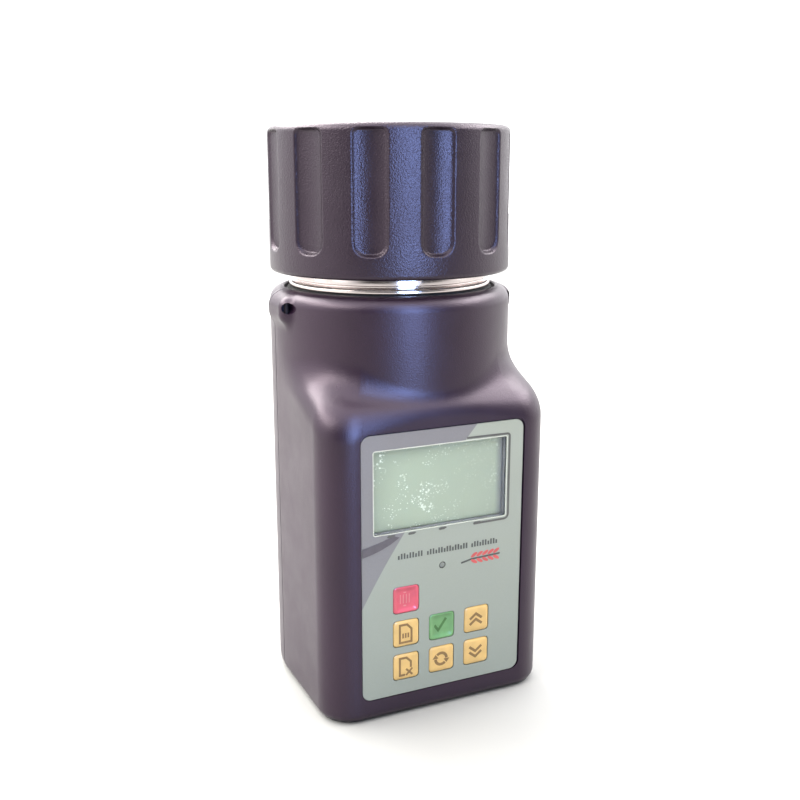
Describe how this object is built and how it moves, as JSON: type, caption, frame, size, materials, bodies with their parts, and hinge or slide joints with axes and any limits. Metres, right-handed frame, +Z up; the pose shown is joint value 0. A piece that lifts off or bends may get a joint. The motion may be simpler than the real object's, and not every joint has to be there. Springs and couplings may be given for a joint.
{
  "type": "grain moisture meter",
  "caption": "Hand-held grain moisture meter: round sample cup under a fluted screw cap with a sprung pressure plate, keypad and display on the front, battery door at the back.",
  "frame": {"origin": "on the sample cup's axis at the flat base", "axes": "+Z up along the cup axis, -Y out of the front face with the keys and display, +X to the right seen from the front"},
  "size_m": [0.0862, 0.0855, 0.1922],
  "materials": {
    "shell_plastic": "fine spark-eroded satin grain",
    "cap_plastic": "fine spark-eroded satin grain",
    "collar_chrome": "bright plated",
    "cup_steel": "fine turned",
    "fastener_steel": "zinc plated",
    "clamp_aluminium": "turned",
    "insulator_plastic": "natural moulded",
    "bush_brass": "turned",
    "seal_rubber": "soft moulded",
    "circuit_board": "solder resist",
    "lead_red": "soft insulation",
    "lead_black": "soft insulation",
    "indicator_red": "polished moulded",
    "label_film": "printed gloss film",
    "window_clear": "clear acrylic",
    "lcd_cell": "polarised display cell",
    "lcd_bezel": "moulded",
    "light_guide": "diffuse moulded",
    "light_lens": "clear moulded",
    "switch_plastic": "moulded",
    "key_red": "smooth moulded",
    "key_green": "smooth moulded",
    "key_yellow": "smooth moulded",
    "tray_plastic": "moulded",
    "cell_wrap": "shrink wrap"
  },
  "bodies": {
    "case": {"front_shell": "shell_plastic", "rear_shell": "shell_plastic", "case_screws": "fastener_steel", "strap_pins": "fastener_steel", "sample_cup": "cup_steel", "threaded_collar": "collar_chrome", "cup_seal": "seal_rubber", "cup_clamp_ring": "clamp_aluminium", "centre_electrode": "cup_steel", "electrode_insulator": "insulator_plastic", "electrode_nuts": "bush_brass", "temperature_sensor": "cup_steel", "sensor_board": "circuit_board", "sensor_lead": "lead_red", "front_label": "label_film", "display_window": "window_clear", "lcd_frame": "lcd_bezel", "lcd_glass": "lcd_cell", "lcd_backlight": "light_guide", "status_light": "light_lens", "main_board": "circuit_board", "board_screws": "fastener_steel", "key_switches": "switch_plastic", "battery_tray": "tray_plastic", "battery_contacts": "fastener_steel", "batteries": "cell_wrap", "battery_leads": "lead_black"},
    "cap_carrier": {"thrust_washer": "fastener_steel", "pressure_spring": "fastener_steel"},
    "cap": {"cap_shell": "cap_plastic", "cap_thread_insert": "insulator_plastic", "cap_guide_bush": "bush_brass", "cap_screws": "fastener_steel"},
    "press": {"pressure_plate": "cup_steel", "pressure_stem": "cup_steel", "indicator_pin": "indicator_red"},
    "door": {"battery_door": "shell_plastic"},
    "power_button": {"power_key": "key_red"},
    "confirm_button": {"confirm_key": "key_green"},
    "up_button": {"up_key": "key_yellow"},
    "down_button": {"down_key": "key_yellow"},
    "cycle_button": {"cycle_key": "key_yellow"},
    "page_button": {"page_key": "key_yellow"},
    "delete_button": {"delete_key": "key_yellow"}
  },
  "joints": [
    {"name": "cap_rise", "type": "slide", "parent": "case", "child": "cap_carrier", "axis": [0, 0, 1], "range_m": [0, 0.0361]},
    {"name": "cap_turn", "type": "hinge", "parent": "cap_carrier", "child": "cap", "pos_m": [0, 0, 0], "axis": [0, 0, 1], "range_deg": [0, 1080]},
    {"name": "plate_press", "type": "slide", "parent": "cap_carrier", "child": "press", "axis": [0, 0, 1], "range_m": [0, 0.005], "stiffness_N_per_m": 900, "springref_m": -0.006, "deforming": ["pressure_spring"]},
    {"name": "door_swing", "type": "hinge", "parent": "case", "child": "door", "pos_m": [0, 0.0399, 0.0098], "axis": [-1, 0, 0], "range_deg": [0, 75]},
    {"name": "power_press", "type": "slide", "parent": "case", "child": "power_button", "axis": [0, 1, 0], "range_m": [0, 0.0005], "stiffness_N_per_m": 400, "springref_m": -0.001},
    {"name": "confirm_press", "type": "slide", "parent": "case", "child": "confirm_button", "axis": [0, 1, 0], "range_m": [0, 0.0005], "stiffness_N_per_m": 400, "springref_m": -0.001},
    {"name": "up_press", "type": "slide", "parent": "case", "child": "up_button", "axis": [0, 1, 0], "range_m": [0, 0.0005], "stiffness_N_per_m": 400, "springref_m": -0.001},
    {"name": "down_press", "type": "slide", "parent": "case", "child": "down_button", "axis": [0, 1, 0], "range_m": [0, 0.0005], "stiffness_N_per_m": 400, "springref_m": -0.001},
    {"name": "cycle_press", "type": "slide", "parent": "case", "child": "cycle_button", "axis": [0, 1, 0], "range_m": [0, 0.0005], "stiffness_N_per_m": 400, "springref_m": -0.001},
    {"name": "page_press", "type": "slide", "parent": "case", "child": "page_button", "axis": [0, 1, 0], "range_m": [0, 0.0005], "stiffness_N_per_m": 400, "springref_m": -0.001},
    {"name": "delete_press", "type": "slide", "parent": "case", "child": "delete_button", "axis": [0, 1, 0], "range_m": [0, 0.0005], "stiffness_N_per_m": 400, "springref_m": -0.001}
  ],
  "couplings": [
    {"joint": "cap_rise", "follows": "cap_turn", "m_per_rad": 0.0019099}
  ]
}
